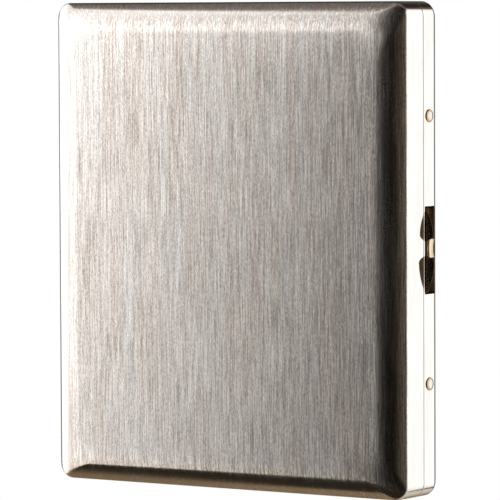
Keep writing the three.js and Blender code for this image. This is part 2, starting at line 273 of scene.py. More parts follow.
def weighted(tree, parts):
    """Sum of sockets, each times its weight."""
    total = None
    for socket, weight in parts:
        scaled = math_node(tree, "MULTIPLY", socket, weight)
        total = scaled if total is None else math_node(tree, "ADD", total, scaled)
    return total


def graded(tree, value, stops):
    """A piecewise straight curve through (position, level) stops."""
    first, last = stops[0][0], stops[-1][0]
    peak = max(level for _, level in stops) or 1.0
    ramp = tree.nodes.new("ShaderNodeValToRGB")
    elements = ramp.color_ramp.elements
    while len(elements) < len(stops):
        elements.new(0.5)
    for element, (position, level) in zip(elements, stops):
        element.position = (position - first) / (last - first)
        grey = level / peak
        element.color = (grey, grey, grey, 1)
    tree.links.new(spread(tree, value, first, last), ramp.inputs[0])
    return math_node(tree, "MULTIPLY", ramp.outputs[0], peak)


def mix_colour(tree, factor, a, b, blend="MIX"):
    made = tree.nodes.new("ShaderNodeMix")
    made.data_type = "RGBA"
    made.blend_type = blend
    for name, value in (("Factor", factor), ("A", a), ("B", b)):
        sockets = [s for s in made.inputs if s.name == name and s.enabled]
        feed(tree, sockets[0], value)
    return [s for s in made.outputs if s.enabled][0]


def new_material(name):
    material = bpy.data.materials.new(name)
    material.use_nodes = True
    tree = material.node_tree
    tree.nodes.clear()
    output = tree.nodes.new("ShaderNodeOutputMaterial")
    shader = tree.nodes.new("ShaderNodeBsdfPrincipled")
    tree.links.new(shader.outputs[0], output.inputs[0])
    shader.inputs["Metallic"].default_value = 1.0
    return material, tree, shader


def streaks(tree, scale, detail=2.0, offset=0.0):
    """Noise drawn out by a per-axis scale, in cycles per metre."""
    coordinate = tree.nodes.new("ShaderNodeTexCoord")
    mapping = tree.nodes.new("ShaderNodeMapping")
    mapping.inputs["Scale"].default_value = scale
    mapping.inputs["Location"].default_value = (offset, offset * 0.37, offset * 0.71)
    tree.links.new(coordinate.outputs["Object"], mapping.inputs["Vector"])
    noise = tree.nodes.new("ShaderNodeTexNoise")
    noise.inputs["Scale"].default_value = 1.0
    noise.inputs["Detail"].default_value = detail
    noise.inputs["Roughness"].default_value = 0.6
    tree.links.new(mapping.outputs[0], noise.inputs["Vector"])
    return noise.outputs["Fac"]


def relief(tree, shader, height, strength):
    """Fine relief on the shader's normal. The strength is a number or a socket."""
    bump = tree.nodes.new("ShaderNodeBump")
    feed(tree, bump.inputs["Strength"], strength)
    bump.inputs["Distance"].default_value = BUMP_DISTANCE
    tree.links.new(height, bump.inputs["Height"])
    tree.links.new(bump.outputs[0], shader.inputs["Normal"])


def brushed_nickel():
    """Hairlines along Z, with a painted highlight and smoother relief on the hinge-side shoulder, plainer
    at the ends, and one painted line, a painted reflection in the rounded edge.
    """
    material, tree, shader = new_material("brushed_nickel")
    grain = streaks(tree, (8000, 5000, 1900), 1.0, 5.3)
    fine = streaks(tree, (6400, 3600, 130), 2.0)
    coarse = streaks(tree, (2200, 1200, 52), 2.0, 3.1)
    broad = streaks(tree, (420, 240, 26), 2.0, 7.7)
    tone = weighted(tree, ((grain, 0.28), (fine, 0.42), (coarse, 0.2), (broad, 0.1)))
    x, _, z = split_position(tree)
    # Mask of the painted highlight on the hinge-side shoulder, which also smooths the relief there.
    shoulder_smooth_and_highlight = smooth_step(tree, x, *SHOULDER_SMOOTH_AND_HIGHLIGHT_X)
    from_middle = math_node(tree, "ABSOLUTE", math_node(tree, "SUBTRACT", z, MID_Z))
    ends = smooth_step(tree, from_middle, *PLAIN_END_Z)
    # A painted reflection: a dark line along the hinge-side edge.
    edge_line = smooth_step(tree, x, *EDGE_LINE_X)
    shade = spread(tree, tone, 0.40, 0.60)
    # Painted highlight: the hinge-side shoulder's base colour is lifted near white.
    shade = math_node(tree, "MAXIMUM", shade, math_node(tree, "MULTIPLY", shoulder_smooth_and_highlight, 0.9))
    shade = math_node(tree, "MAXIMUM", shade, math_node(tree, "MULTIPLY", ends, 0.5))
    colour = mix_colour(tree, shade, (0.33, 0.305, 0.28, 1), (1.0, 0.955, 0.915, 1))
    warmth = spread(tree, broad, 0.35, 0.65)
    tint = mix_colour(tree, warmth, (1.0, 0.955, 0.93, 1), (0.955, 0.965, 0.975, 1))
    colour = mix_colour(tree, 1.0, colour, tint, "MULTIPLY")
    tree.links.new(colour, shader.inputs["Base Color"])
    darken(material, edge_line, LINE_SHADE)
    tree.links.new(spread(tree, tone, 0.3, 0.7, 0.15, 0.19), shader.inputs["Roughness"])
    shader.inputs["Anisotropic"].default_value = 0.96
    tangent = tree.nodes.new("ShaderNodeTangent")
    tangent.direction_type = "RADIAL"
    tangent.axis = "Z"
    tree.links.new(tangent.outputs[0], shader.inputs["Tangent"])
    plain = math_node(tree, "MAXIMUM", shoulder_smooth_and_highlight, ends)
    relief(tree, shader, tone, spread(tree, plain, 0.0, 1.0, 0.12, 0.02))
    return material


def polished(name, low, high, rough, scale=(900, 900, 120), bump_strength=0.02):
    """Smooth metal between two colours, with faint streaks in tone, roughness and relief."""
    material, tree, shader = new_material(name)
    tone = streaks(tree, scale, 2.0, 1.3)
    colour = mix_colour(tree, smooth_step(tree, tone, 0.35, 0.65), (*low, 1), (*high, 1))
    tree.links.new(colour, shader.inputs["Base Color"])
    roughness = smooth_step(tree, tone, 0.25, 0.75, rough * 0.7, rough * 1.4)
    tree.links.new(roughness, shader.inputs["Roughness"])
    relief(tree, shader, tone, bump_strength)
    return material


def darken(material, mask, shade):
    """Multiplies the base colour by the shade where the mask is 1."""
    tree = material.node_tree
    shader = next(n for n in tree.nodes if n.type == "BSDF_PRINCIPLED")
    source = shader.inputs["Base Color"].links[0].from_socket
    darker = mix_colour(tree, 1.0, source, shade, "MULTIPLY")
    tree.links.new(mix_colour(tree, mask, source, darker), shader.inputs["Base Color"])


def paint_shade_on_x_faces(material):
    """Painted shade: darkens the faces whose normal points along +X, such as flange edges and the channel
    floor.
    """
    tree = material.node_tree
    geometry = tree.nodes.new("ShaderNodeNewGeometry")
    split = tree.nodes.new("ShaderNodeSeparateXYZ")
    tree.links.new(geometry.outputs["Normal"], split.inputs[0])
    darken(material, smooth_step(tree, split.outputs[0], 0.3, 0.7), X_FACE_PAINTED_SHADE)


def line_rear_edge(material):
    """Paints a dark line on the rear cover's wall, next to the shoulder: a painted reflection in the
    rounded edge.
    """
    tree = material.node_tree
    darken(material, smooth_step(tree, split_position(tree)[1], *WALL_LINE_Y), LINE_SHADE)


BRUSHED = brushed_nickel()
POLISHED = polished("polished_nickel", (0.86, 0.84, 0.81), (0.92, 0.905, 0.88), 0.05)
# A painted reflection: a dark line on the rear cover's wall.
line_rear_edge(POLISHED)
NICKEL = polished("bright_nickel", (0.78, 0.76, 0.72), (0.86, 0.84, 0.81), 0.14)
GILT = polished("gilt_brass", (0.80, 0.60, 0.30), (0.90, 0.72, 0.42), 0.2, (500, 500, 60), 0.05)
DARK_BRASS = polished("dark_brass", (0.40, 0.31, 0.22), (0.60, 0.50, 0.38), 0.17, (700, 700, 250), 0.06)
# Painted shade on the channel's faces that point along +X.
paint_shade_on_x_faces(DARK_BRASS)
LIGHT_BRASS = polished("light_brass", (0.62, 0.47, 0.31), (0.86, 0.72, 0.53), 0.2, (700, 700, 250), 0.05)
STEEL = polished("spring_steel", (0.50, 0.50, 0.51), (0.62, 0.62, 0.63), 0.24, (1200, 1200, 200), 0.05)
RIVET_RIM = polished("rivet_rim_brass", (0.58, 0.42, 0.22), (0.70, 0.53, 0.30), 0.18)
COVER_MATERIALS = (BRUSHED, POLISHED, GILT)


# ---------------------------------------------------------------- mesh helpers

def finish_mesh(name, mesh, materials, sharp=34):
    """Names the piece, shades it smooth up to the sharp angle and gives it its materials."""
    work = bmesh.new()
    work.from_mesh(mesh)
    bmesh.ops.remove_doubles(work, verts=work.verts, dist=1e-8)
    bmesh.ops.recalc_face_normals(work, faces=work.faces)
    for face in work.faces:
        face.smooth = True
    for edge in work.edges:
        edge.smooth = len(edge.link_faces) != 2 or edge.calc_face_angle() < math.radians(sharp)
    work.to_mesh(mesh)
    work.free()
    for i, material in enumerate(materials):
        if i < len(mesh.materials):
            mesh.materials[i] = material
        else:
            mesh.materials.append(material)
    obj = bpy.data.objects.new(name, mesh)
    bpy.context.scene.collection.objects.link(obj)
    return obj


def mesh_of(points, faces, slots=None):
    mesh = bpy.data.meshes.new("work")
    mesh.from_pydata([tuple(p) for p in points], [], faces)
    if slots:
        for polygon, slot in zip(mesh.polygons, slots):
            polygon.material_index = slot
    mesh.update()
    return mesh


def joined(meshes):
    """One mesh out of several, each keeping its material indices."""
    work = bmesh.new()
    for mesh in meshes:
        work.from_mesh(mesh)
    made = bpy.data.meshes.new("work")
    work.to_mesh(made)
    work.free()
    return made


def face_outward(mesh):
    """Turns every face outwards. A boolean cut needs that of both meshes."""
    work = bmesh.new()
    work.from_mesh(mesh)
    bmesh.ops.recalc_face_normals(work, faces=work.faces)
    work.to_mesh(mesh)
    work.free()


def bevelled(mesh, width, segments=2, angle=30):
    """Rounds every edge sharper than the angle."""
    work = bmesh.new()
    work.from_mesh(mesh)
    bmesh.ops.recalc_face_normals(work, faces=work.faces)
    least = math.radians(angle)
    edges = [e for e in work.edges if len(e.link_faces) == 2 and e.calc_face_angle() > least]
    bmesh.ops.bevel(
        work,
        geom=edges,
        offset=width,
        offset_type="OFFSET",
        segments=segments,
        profile=0.5,
        affect="EDGES",
        clamp_overlap=True,
    )
    work.to_mesh(mesh)
    work.free()
    return mesh


def cut(mesh, cutters, materials=(), face_slot=0):
    """Takes each cutter away from the mesh; the cut faces get the material at face_slot."""
    scene = bpy.context.scene
    face_outward(mesh)
    for material in materials:
        mesh.materials.append(material)
    for cutter in cutters:
        face_outward(cutter)
        for material in materials:
            cutter.materials.append(material)
        for polygon in cutter.polygons:
            polygon.material_index = face_slot
        a = bpy.data.objects.new("cut_a", mesh)
        b = bpy.data.objects.new("cut_b", cutter)
        scene.collection.objects.link(a)
        scene.collection.objects.link(b)
        modifier = a.modifiers.new("cut", "BOOLEAN")
        modifier.operation = "DIFFERENCE"
        modifier.solver = "EXACT"
        modifier.object = b
        bpy.context.view_layer.update()
        evaluated = a.evaluated_get(bpy.context.evaluated_depsgraph_get())
        mesh = bpy.data.meshes.new_from_object(evaluated)
        bpy.data.objects.remove(a)
        bpy.data.objects.remove(b)
    return mesh


AXES = {
    "x": lambda u, v, w: (w, u, v),
    "y": lambda u, v, w: (u, w, v),
    "z": lambda u, v, w: (u, v, w),
}


def prism(points, axis, low, high):
    """A flat outline pushed along an axis."""
    place = AXES[axis]
    n = len(points)
    verts = [place(u, v, low) for u, v in points] + [place(u, v, high) for u, v in points]
    faces = [list(range(n)), list(range(2 * n - 1, n - 1, -1))]
    faces += [[i, (i + 1) % n, n + (i + 1) % n, n + i] for i in range(n)]
    mesh = mesh_of(verts, faces)
    face_outward(mesh)
    return mesh


def block(x, y, z):
    return prism([(x[0], y[0]), (x[1], y[0]), (x[1], y[1]), (x[0], y[1])], "z", z[0], z[1])


def circle(r, sides):
    """Points round a circle, each with its angle measured from the first axis."""
    angles = (2 * math.pi * i / sides for i in range(sides))
    return [(r * math.cos(a), r * math.sin(a)) for a in angles]


def disc(u, v, r, axis, low, high, sides=48):
    return prism([(u + du, v + dv) for du, dv in circle(r, sides)], axis, low, high)


def strip(centreline, thickness):
    """Outline of a bent strip of even thickness."""
    left, right = [], []
    for i, (u, v) in enumerate(centreline):
        au, av = centreline[max(i - 1, 0)]
        bu, bv = centreline[min(i + 1, len(centreline) - 1)]
        length = math.hypot(bu - au, bv - av)
        du, dv = -(bv - av) / length * thickness / 2, (bu - au) / length * thickness / 2
        left.append((u + du, v + dv))
        right.append((u - du, v - dv))
    return left + right[::-1]


def smoothed(points, rounds=2):
    """Rounds the corners of an open polyline by cutting them."""
    for _ in range(rounds):
        made = [points[0]]
        for (au, av), (bu, bv) in zip(points, points[1:]):
            made.append((au * 0.75 + bu * 0.25, av * 0.75 + bv * 0.25))
            made.append((au * 0.25 + bu * 0.75, av * 0.25 + bv * 0.75))
        made.append(points[-1])
        points = made
    return points


def ring(half_x, half_z, r, y, steps=CORNER_STEPS):
    """A rounded rectangle in X and Z, centred on the case."""
    points = []
    for k, (sx, sz) in enumerate(((1, 1), (-1, 1), (-1, -1), (1, -1))):
        for i in range(steps + 1):
            a = (k + i / steps) * math.pi / 2
            x = sx * (half_x - r) + r * math.cos(a)
            z = MID_Z + sz * (half_z - r) + r * math.sin(a)
            points.append((x, y, z))
    return points


def loft(rings, caps=True, slots=None, cap_slots=(0, 0), closed=False):
    """Quads between rings of equal length, with a flat face on each end."""
    n = len(rings[0])
    points = [p for r in rings for p in r]
    faces, indices = [], []
    spans = len(rings) if closed else len(rings) - 1
    for k in range(spans):
        a, b = k * n, ((k + 1) % len(rings)) * n
        for i in range(n):
            j = (i + 1) % n
            faces.append([a + i, a + j, b + j, b + i])
            indices.append(slots[k] if slots else 0)
    if caps and not closed:
        faces.append(list(range(n)))
        faces.append(list(range((len(rings) - 1) * n, len(rings) * n)))
        indices += list(cap_slots)
    return mesh_of(points, faces, indices)


def sweep(path, r, sides=10):
    """A round wire along a path, without twist."""
    rings = []
    normal = None
    for i, p in enumerate(path):
        tangent = (path[min(i + 1, len(path) - 1)] - path[max(i - 1, 0)]).normalized()
        if normal is None:
            normal = tangent.orthogonal().normalized()
        normal = (normal - tangent * normal.dot(tangent)).normalized()
        other = tangent.cross(normal)
        shrink = 0.6 if i in (0, len(path) - 1) else 1.0
        rings.append([p + (normal * c + other * s) * r * shrink for c, s in circle(1, sides)])
    return loft(rings)


def lathe(profile, axis, centre, sides=48, slots=None):
    """Turns (radius, height) points, from axis to axis, round an axis through centre."""
    place = AXES[axis]
    rings = []
    for r, h in profile[1:-1]:
        rings.append([Vector(place(u, v, h)) + centre for u, v in circle(r, sides)])
    points = [p for r in rings for p in r]
    first = len(points)
    points.append(Vector(place(0, 0, profile[0][1])) + centre)
    points.append(Vector(place(0, 0, profile[-1][1])) + centre)
    faces, indices = [], []
    last = (len(rings) - 1) * sides
    for i in range(sides):
        j = (i + 1) % sides
        faces.append([first, j, i])
        indices.append(slots[0] if slots else 0)
        for k in range(len(rings) - 1):
            low, high = k * sides, (k + 1) * sides
            faces.append([low + i, low + j, high + j, high + i])
            indices.append(slots[k + 1] if slots else 0)
        faces.append([first + 1, last + i, last + j])
        indices.append(slots[-1] if slots else 0)
    return mesh_of(points, faces, indices)


def attach(obj, body, slot, *nodes):
    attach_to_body(obj, body)
    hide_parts(*nodes)
    return obj


# ---------------------------------------------------------------- covers

def cover_section():
    """(inset, rise, normal's two parts, whether brushed) along the outside, from wall to face."""
    section = []
    for i in range(ROLL_STEPS + 1):
        a = ROLL_END * i / ROLL_STEPS
        along, up = math.cos(a), math.sin(a)
        section.append((ROLL_R * (1 - along), ROLL_R * up, along, up, a >= BRUSHED_FROM))
    inset, rise = section[-1][:2]
    for i in range(1, SHOULDER_STEPS + 1):
        u = (i / SHOULDER_STEPS) ** 1.25
        slope = SHOULDER_RISE * SHOULDER_POWER * (1 - u) ** (SHOULDER_POWER - 1) / SHOULDER_WIDTH
        length = math.hypot(1, slope)
        height = rise + SHOULDER_RISE * (1 - (1 - u) ** SHOULDER_POWER)
        section.append((inset + SHOULDER_WIDTH * u, height, slope / length, 1 / length, True))
    return section


def cover_mesh(side, rim):
    """A pressed cover: brushed face (slot 0), polished walls (slot 1), gilt inside (slot 2)."""
    section = cover_section()
    rings, slots = [], []

    def put(inset, y, r, slot):
        rings.append(ring(HALF_X - inset, MID_Z - inset, max(r, 0.5 * MM), y))
        slots.append(slot)

    for inset, rise, nx, ny, brushed in reversed(section):
        put(inset, side * (WALL_Y + rise), CORNER_R + CORNER_GROWTH * inset, 0 if brushed else 1)
    put(0, side * (WALL_Y - WALL_SUPPORT), CORNER_R, 1)
    put(0, rim + side * (RIM_ROUND + WALL_SUPPORT), CORNER_R, 1)
    put(0, rim + side * RIM_ROUND, CORNER_R, 1)
    put(0.3 * RIM_ROUND, rim + side * 0.3 * RIM_ROUND, CORNER_R, 1)
    put(RIM_ROUND, rim, CORNER_R, 1)
    put(SHEET - RIM_ROUND, rim, CORNER_R - SHEET + RIM_ROUND, 1)
    put(SHEET - 0.3 * RIM_ROUND, rim + side * 0.3 * RIM_ROUND, CORNER_R - SHEET, 2)
    put(SHEET, rim + side * RIM_ROUND, CORNER_R - SHEET, 2)
    for inset, rise, nx, ny, _ in section:
        r = CORNER_R + CORNER_GROWTH * inset - SHEET * nx
        put(inset + SHEET * nx, side * (WALL_Y + rise - SHEET * ny), r, 2)
    return loft(rings, slots=slots, cap_slots=(0, 2))


def hinge_recess(y):
    """What the hinge takes out of a cover's wall, over a range of Y."""
    return block(HINGE_WALL_X, y, (HINGE_LOW - RECESS_ROOM, HINGE_HIGH + RECESS_ROOM))


def front_cover():
    mesh = cover_mesh(-1, SEAM_Y - SEAM_OPEN / 2)
    recess = hinge_recess((SEAM_Y - HINGE_RECESS, 2 * MM))
    mesh = cut(mesh, [recess], COVER_MATERIALS, 1)
    obj = finish_mesh("front_cover_shell", mesh, COVER_MATERIALS)
    attach(obj, "front_half", "cover_front", "front_cover")


def rear_cover():
    mesh = cover_mesh(1, SEAM_Y + SEAM_OPEN / 2)
    recess = hinge_recess((0, SEAM_Y + HINGE_RECESS))
    notch = block(LATCH_WALL_X, NOTCH_Y, (MID_Z - NOTCH_HALF, MID_Z + NOTCH_HALF))
    holes = [disc(RIVET_Y, MID_Z + s * RIVET_Z, RIVET_HOLE_R, "x", *LATCH_WALL_X) for s in (-1, 1)]
    mesh = cut(mesh, [recess, notch, *holes], COVER_MATERIALS, 1)
    obj = finish_mesh("rear_cover_shell", mesh, COVER_MATERIALS)
    attach(obj, "rear_half", "cover_rear", "rear_cover")


def strip_ring(low, high):
    """A lining strip following the inside of the walls, as a closed loop of rings."""
    inner_r = FRAME_R - FRAME_T
    e = EDGE_ROUND
    sections = [
        (0, low + e), (0, high - e), (e, high), (FRAME_T - e, high),
        (FRAME_T, high - e), (FRAME_T, low + e), (FRAME_T - e, low), (e, low),
    ]
    rings = [ring(FRAME_X - i, FRAME_Z - i, max(FRAME_R - i, inner_r), y) for i, y in sections]
    return loft(rings, caps=False, closed=True)


def hinge_gap():
    """Where the lining strips stop for the hinge leaves."""
    span = (HINGE_LOW - 1 * MM, HINGE_HIGH + 1 * MM)
    return block((-43 * MM, -38 * MM), (-BEYOND, BEYOND), span)


def lining_strips():
    """The front strip has no lip on the hinge side and a gap at the latch; the rear one is two lengths."""
    lip = block((-43 * MM, -37 * MM), (0.4 * MM, BEYOND), (-BEYOND, BEYOND * 3))
    latch_gap = block((39 * MM, 43 * MM), (-2.9 * MM, BEYOND), (MID_Z - 11.5 * MM, MID_Z + 11.5 * MM))
    front = cut(strip_ring(-4.3 * MM, 1.8 * MM), [hinge_gap(), lip, latch_gap])
    attach(finish_mesh("front_lining_strip", front, [GILT]), "front_half", "frame", "front_frame")
    half = 31 * MM
    removed = {"upper": (-BEYOND, MID_Z + half), "lower": (MID_Z - half, 3 * BEYOND)}
    for label, span in removed.items():
        other = block((-BEYOND, BEYOND), (-BEYOND, BEYOND), span)
        mesh = cut(strip_ring(2.1 * MM, 4.4 * MM), [hinge_gap(), other])
        obj = finish_mesh(f"rear_lining_strip_{label}", mesh, [GILT])
        attach(obj, "rear_half", "frame", f"rear_frame_{label}")


# ---------------------------------------------------------------- hinge

def knuckle(low, high):
    """A rolled knuckle: a thick tube with rounded ends."""
    e = 0.12 * MM
    bore = KNUCKLE_BORE_R
    section = [
        (BARREL_R, low + e), (BARREL_R, high - e), (BARREL_R - e, high), (bore + e, high),
        (bore, high - e), (bore, low + e), (bore + e, low), (BARREL_R - e, low),
    ]
    rings = [[(HINGE_X + u, SEAM_Y + v, z) for u, v in circle(r, 40)] for r, z in section]
    return loft(rings, caps=False, closed=True)


def hinge_leaf(label, side, first):
    """A flat leaf inside the wall, with every second knuckle and the tab that carries it."""
    plate_x = (-FRAME_X, -FRAME_X + FRAME_T)
    near = SEAM_Y + side * HINGE_RECESS
    span = sorted((near, side * 4.1 * MM))
    height = (HINGE_LOW - LEAF_ROOM, HINGE_HIGH + LEAF_ROOM)
    parts = [bevelled(block(plate_x, span, height), EDGE_ROUND)]
    pitch = (HINGE_HIGH - HINGE_LOW + KNUCKLE_GAP) / KNUCKLES
    tab = [
        (TAB_X, SEAM_Y),
        (plate_x[1], SEAM_Y),
        (plate_x[1], near + side * 0.2 * MM),
        (plate_x[0], near + side * 0.2 * MM),
        (plate_x[0], SEAM_Y + side * BARREL_R),
        (TAB_TOP_X, SEAM_Y + side * (BARREL_R - 0.04 * MM)),
    ]
    for k in range(first, KNUCKLES, 2):
        low = HINGE_LOW + k * pitch
        high = low + pitch - KNUCKLE_GAP
        parts.append(bevelled(prism(tab, "z", low, high), 0.05 * MM))
        parts.append(knuckle(low, high))
    obj = finish_mesh(f"hinge_leaf_{label}_knuckles", joined(parts), [NICKEL])
    attach(obj, f"{label}_half", "hinge", f"hinge_leaf_{label}")


def hinge_pin():
    low, high = HINGE_LOW - LEAF_ROOM, HINGE_HIGH + LEAF_ROOM
    e = 0.15 * MM
    profile = [
        (0, low), (PIN_R - e, low), (PIN_R - 0.3 * e, low + 0.3 * e), (PIN_R, low + e),
        (PIN_R, high - e), (PIN_R - 0.3 * e, high - 0.3 * e), (PIN_R - e, high), (0, high),
    ]
    mesh = lathe(profile, "z", Vector((HINGE_X, SEAM_Y, 0)), 32)
    attach(finish_mesh("hinge_pin_rod", mesh, [STEEL]), "rear_half", "steel", "hinge_pin")


# ---------------------------------------------------------------- latch

def lobe_height(z):
    """How far a flange's edge stands above its waist at height z from the middle of the latch."""
    z -= DIP_CENTRE
    end = LOBE_ENDS[z > 0]
    s = (abs(z) - LOBE_DIP) / (end - LOBE_DIP)
    if s <= 0:
        return 0.0
    rise = min(s / LOBE_PEAK_AT, 1)
    fall = min(max((s - LOBE_PEAK_AT) / (1 - LOBE_PEAK_AT), 0), 1)
    height = LATCH_PROUD - THUMB_BASE - (UPPER_LOBE_LOWER if z > 0 else 0)
    return height * math.sin(rise * math.pi / 2) * (1 - fall * fall)


def thumb_stations():
    """Heights along the thumb piece, closer together round the lobes."""
    heights = set()
    for side in (-1, 1):
        end = LOBE_ENDS[side > 0]
        peak = LOBE_DIP + LOBE_PEAK_AT * (end - LOBE_DIP)
        half = [0, 0.6 * LOBE_DIP, 0.9 * LOBE_DIP]
        half += [LOBE_DIP + (peak - LOBE_DIP) * i / 6 for i in range(7)]
        half += [peak + (end - peak) * (1 - (1 - i / 20) ** 1.6) for i in range(1, 21)]
        heights.update(round(DIP_CENTRE + side * z, 9) for z in half)
    heights.update((-THUMB_END, THUMB_END))
    return sorted(heights)


def arc_points(cx, cy, r, start, end, steps=5):
    points = []
    for i in range(steps + 1):
        a = math.radians(start + (end - start) * i / steps)
        points.append((cx + r * math.cos(a), cy + r * math.sin(a)))
    return points


def near_lean(x):
    """How far the near flange leans in, growing from the wall's face to its tip."""
    return 0.25 * MM * max(x - HALF_X, 0) / LATCH_PROUD


def thumb_section(tip_x):
    """The U section in (Y, X): a near flange that leans in, a low far one and a bent web."""
    y0, y1 = THUMB_LOW_Y, THUMB_HIGH.y
    t, back = THUMB_T, WEB_X - THUMB_T / 2
    tip = 0.13 * MM
    outer, inner = THUMB_BEND + t * 0.6, THUMB_BEND * 0.6
    start_x = back + t + inner
    near_x = tip_x - tip
    far_x = HALF_X + FAR_FLANGE_PROUD - tip
    near = [start_x + (near_x - start_x) * i / 9 for i in range(10)]
    far = [start_x + (far_x - start_x) * i / 9 for i in range(10)]
    points = [(y0 + near_lean(x), x) for x in near]
    points += arc_points(y0 + tip + near_lean(near_x), near_x, tip, 150, 30, 4)
    for i, x in enumerate(near[::-1]):
        points.append((y0 + 2 * tip + (t - 2 * tip) * (i / 9) ** 0.5 + near_lean(x), x))
    points += arc_points(y0 + t + inner, back + t + inner, inner, 180, 270, 4)[1:]
    points += arc_points(y1 - t - inner, back + t + inner, inner, 270, 360, 4)[:-1]
    points += [(y1 - t, x) for x in far]
    points += arc_points(y1 - t + tip, far_x, tip, 150, 30, 4)
    points += [(y1 - t + 2 * tip + (t - 2 * tip) * (i / 9) ** 0.5, x) for i, x in enumerate(far[::-1])]
    points += arc_points(y1 - outer, back + outer, outer, 0, -90, 5)
    points += arc_points(y0 + outer, back + outer, outer, 270, 180, 5)
    return points


def saddle():
    """The rounded bridge between the lobes."""
    y0, y1 = THUMB_LOW_Y + 0.02 * MM, THUMB_HIGH.y - 0.02 * MM
    top = HALF_X + SADDLE_PROUD
    section = [(y0, WEB_X), (y0, top - 1.0 * MM)]
    section += [(y0 + 0.5 * MM, top - 0.75 * MM), (y0 + 0.86 * MM, top - 0.4 * MM)]
    section += arc_points(y0 + 1.26 * MM, top - 0.4 * MM, 0.4 * MM, 160, 90, 6)
    section += arc_points(y1 - 0.45 * MM, top - 0.45 * MM, 0.45 * MM, 85, 0, 6)
    section += [(y1, WEB_X)]
    half = LOBE_DIP + 0.45 * MM
    rings = []
    for i in range(13):
        f = i / 6 - 1
        lift = -0.12 * MM * (1 - f * f)
        z = MID_Z + DIP_CENTRE + f * half
        rings.append([(x + (lift if x > HALF_X else 0), y, z) for y, x in section])
    return loft(rings)


def thumb_piece():
    """The bridge is a lighter brass (slot 0); channel, webs and claws are dark brass (slot 1), with
    painted shade on their faces that point along +X.
    """
    rings = []
    for z in thumb_stations():
        tip_x = HALF_X + THUMB_BASE + lobe_height(z)
        rings.append([(x, y, MID_Z + z) for y, x in thumb_section(tip_x)])
    channel = loft(rings)
    web_half = 10 * MM
    web_x = (WEB_X - THUMB_T / 2, WEB_X + THUMB_T / 2)
    parts = [saddle(), channel]
    for s in (-1, 1):
        span = sorted((MID_Z + s * (THUMB_END - 0.2 * MM), MID_Z + s * web_half))
        web = block(web_x, (THUMB_LOW_Y + 0.1 * MM, THUMB_HIGH.y - 0.1 * MM), span)
        parts.append(bevelled(web, 0.08 * MM))
    low = THUMB_LOW_Y
    claw = [
        (CLAW_BACK_X, low + 0.5 * MM),
        (CLAW_BACK_X, CLAW_TIP_Y),
        (CLAW_X, CLAW_TIP_Y),
        (CLAW_NOSE_X, CLAW_HOOK_Y[0]),
        (CLAW_NOSE_X, CLAW_HOOK_Y[1]),
        (CLAW_X, CLAW_HOOK_Y[1]),
        (CLAW_X, low),
        (CLAW_NOSE_X, low),
        (CLAW_NOSE_X, low + 0.5 * MM),
    ]
    for s in (-1, 1):
        z = MID_Z + s * CLAW_Z
        parts.append(bevelled(prism(claw, "z", z - CLAW_HALF, z + CLAW_HALF), 0.06 * MM))
    for part in parts[1:]:
        for polygon in part.polygons:
            polygon.material_index = 1
    obj = finish_mesh("thumb_piece_channel", joined(parts), [LIGHT_BRASS, DARK_BRASS], 40)
    attach(obj, "latch", "thumb_brass", "thumb_piece")


def leaf_line():
    """(x, distance from the middle) along half the leaf spring, in short pieces."""
    stations = [
        (28.4 * MM, LEAF_END_X),
        (20 * MM, LEAF_END_X),
        (17.2 * MM, LEAF_END_X - 0.16 * MM),
        (14 * MM, LEAF_MID_X + 0.12 * MM),
        (11 * MM, LEAF_MID_X),
        (0, LEAF_MID_X),
    ]
    line = smoothed([(x, z) for z, x in stations])
    fine = []
    for (ax, az), (bx, bz) in zip(line, line[1:]):
        pieces = max(1, int(abs(bz - az) / LEAF_PIECE))
        fine += [(ax + (bx - ax) * i / pieces, az + (bz - az) * i / pieces) for i in range(pieces)]
    return fine + [line[-1]]


def leaf_spring():
    """The leaf spring as two halves, each bending from its rivet to the middle of the thumb piece."""
    line = leaf_line()
    near, far = LEAF_Y
    for s, label in ((1, "upper"), (-1, "lower")):
        outline = strip([(x, MID_Z + s * z) for x, z in line], LEAF_T)
        n = len(line)
        rings = []
        for i in range(n):
            (ax, az), (bx, bz) = outline[i], outline[2 * n - 1 - i]
            rings.append([(ax, near, az), (ax, far, az), (bx, far, bz), (bx, near, bz)])
        mesh = bevelled(loft(rings), 0.05 * MM, 2, 50)
        obj = finish_mesh(f"latch_leaf_spring_{label}", mesh, [STEEL])
        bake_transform(obj)
        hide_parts("latch_leaf_spring")


def rivet(label, z):
    """A rivet with a shallow nickel crown (slot 0) and a brass rim (slot 1)."""
    seat = HALF_X + 0.005 * MM
    back = RIVET_BACK_X
    shank = 0.5 * MM
    edge = 0.26 * MM
    profile = [
        (0, back - 0.4 * MM), (0.6 * MM, back - 0.4 * MM), (0.75 * MM, back - 0.3 * MM), (0.75 * MM, back),
        (shank, back), (shank, seat), (RIVET_HEAD_R, seat),
    ]
    slots = [0] * 6 + [1]
    for i in range(1, 7):
        a = i / 6 * math.radians(80)
        profile.append((RIVET_HEAD_R - edge * (1 - math.cos(a)), seat + edge * math.sin(a)))
        slots.append(1)
    crown = seat + edge + 0.06 * MM
    for f in (0.75, 0.5, 0.25):
        profile.append(((RIVET_HEAD_R - edge) * f, crown - 0.06 * MM * f * f))
        slots.append(0)
    profile.append((0, crown))
    mesh = lathe(profile, "x", Vector((0, RIVET_Y, MID_Z + z)), 40, slots[: len(profile) - 1])
    obj = finish_mesh(f"latch_rivet_{label}_head", mesh, [NICKEL, RIVET_RIM])
    attach(obj, "rear_half", "rivet", f"latch_rivet_{label}")


